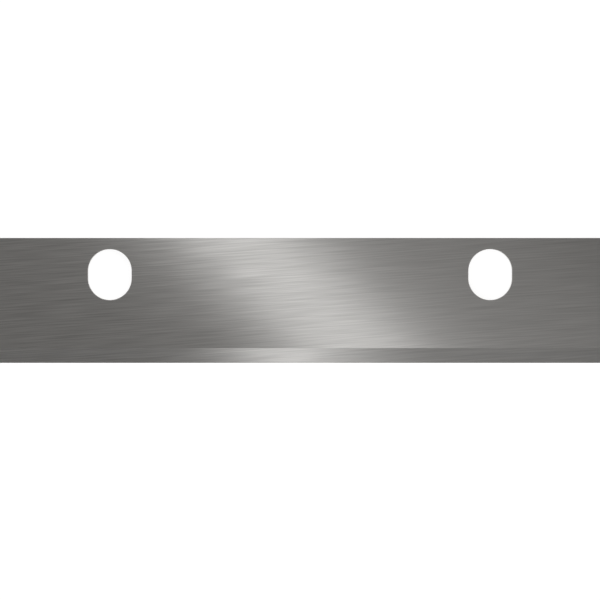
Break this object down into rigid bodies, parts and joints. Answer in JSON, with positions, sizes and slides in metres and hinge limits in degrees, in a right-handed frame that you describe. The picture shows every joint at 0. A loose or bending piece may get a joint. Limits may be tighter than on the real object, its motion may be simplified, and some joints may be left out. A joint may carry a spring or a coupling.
{
  "type": "planer knife",
  "caption": "Flat ground steel planer knife with a bevelled cutting edge along one side and slotted holes for its clamping screws.",
  "frame": {"origin": "middle of the knife's outline, on its flat back", "axes": "+X along the cutting edge, +Y across the knife from the cutting edge to the back edge, +Z out of the face that has the bevel; the knife lies on its flat back"},
  "size_m": [0.15, 0.03, 0.003],
  "materials": {
    "ground_steel": "surface ground, with fine grinding marks nearly along the length"
  },
  "bodies": {
    "root": {"knife": "ground_steel"}
  },
  "joints": []
}
